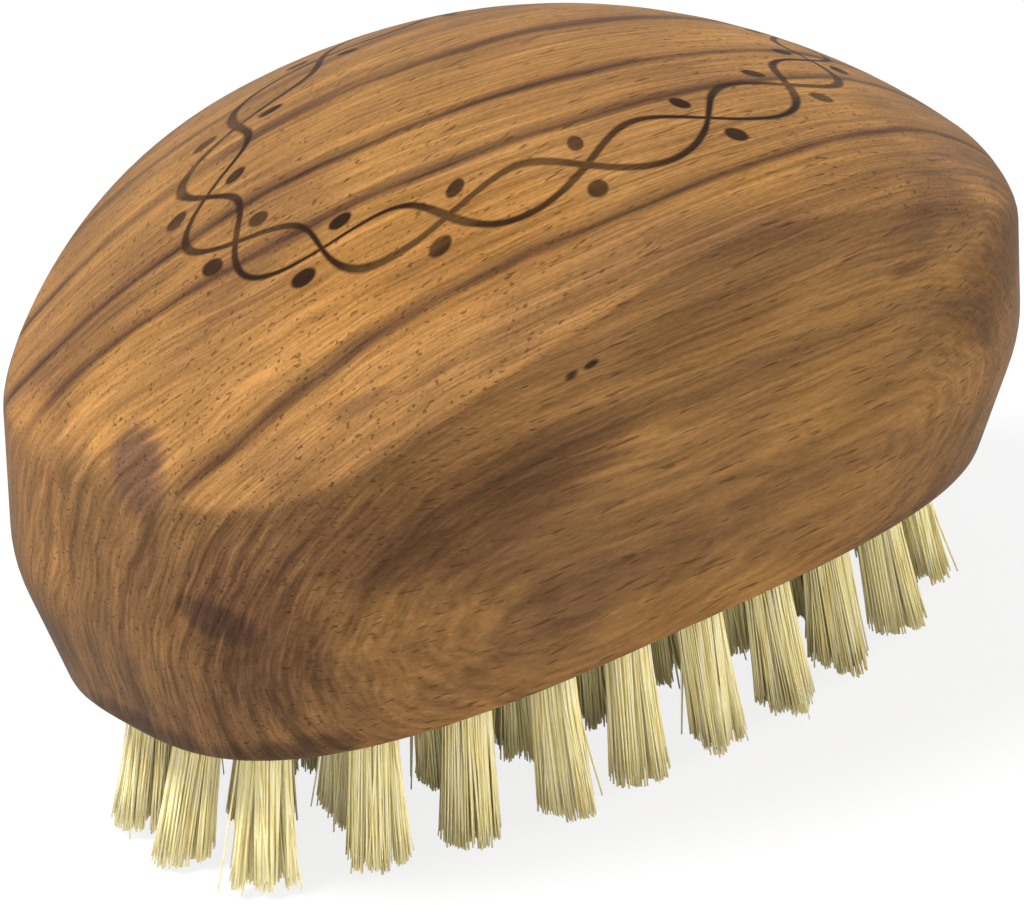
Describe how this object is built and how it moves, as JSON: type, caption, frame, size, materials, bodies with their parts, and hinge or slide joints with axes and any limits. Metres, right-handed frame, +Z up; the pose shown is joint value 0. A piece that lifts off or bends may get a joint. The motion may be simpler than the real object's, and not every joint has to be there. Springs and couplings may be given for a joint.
{
  "type": "hair grooming brush",
  "caption": "Palm-held wooden hair brush: an arched oval block with leaning side walls and rows of stiff pale bristle tufts set in its flat underside.",
  "frame": {"origin": "middle of the brush on the plane of the trimmed bristle tips", "axes": "+X along the block's length, +Z up from the bristle tips to the crown"},
  "size_m": [0.085, 0.05, 0.0548],
  "materials": {
    "oiled_wood": "satin",
    "bristle": "matte",
    "anchor_metal": "satin"
  },
  "bodies": {
    "root": {"wooden_block": "oiled_wood", "bristle_rows_left": "bristle", "bristle_rows_middle": "bristle", "bristle_rows_right": "bristle", "anchor_01": "anchor_metal", "anchor_02": "anchor_metal", "anchor_03": "anchor_metal", "anchor_04": "anchor_metal", "anchor_05": "anchor_metal", "anchor_06": "anchor_metal", "anchor_07": "anchor_metal", "anchor_08": "anchor_metal", "anchor_09": "anchor_metal", "anchor_10": "anchor_metal", "anchor_11": "anchor_metal", "anchor_12": "anchor_metal", "anchor_13": "anchor_metal", "anchor_14": "anchor_metal", "anchor_15": "anchor_metal", "anchor_16": "anchor_metal", "anchor_17": "anchor_metal", "anchor_18": "anchor_metal", "anchor_19": "anchor_metal", "anchor_20": "anchor_metal", "anchor_21": "anchor_metal", "anchor_22": "anchor_metal", "anchor_23": "anchor_metal", "anchor_24": "anchor_metal", "anchor_25": "anchor_metal", "anchor_26": "anchor_metal", "anchor_27": "anchor_metal", "anchor_28": "anchor_metal", "anchor_29": "anchor_metal", "anchor_30": "anchor_metal", "anchor_31": "anchor_metal", "anchor_32": "anchor_metal", "anchor_33": "anchor_metal", "anchor_34": "anchor_metal", "anchor_35": "anchor_metal", "anchor_36": "anchor_metal", "anchor_37": "anchor_metal", "anchor_38": "anchor_metal"}
  },
  "joints": []
}
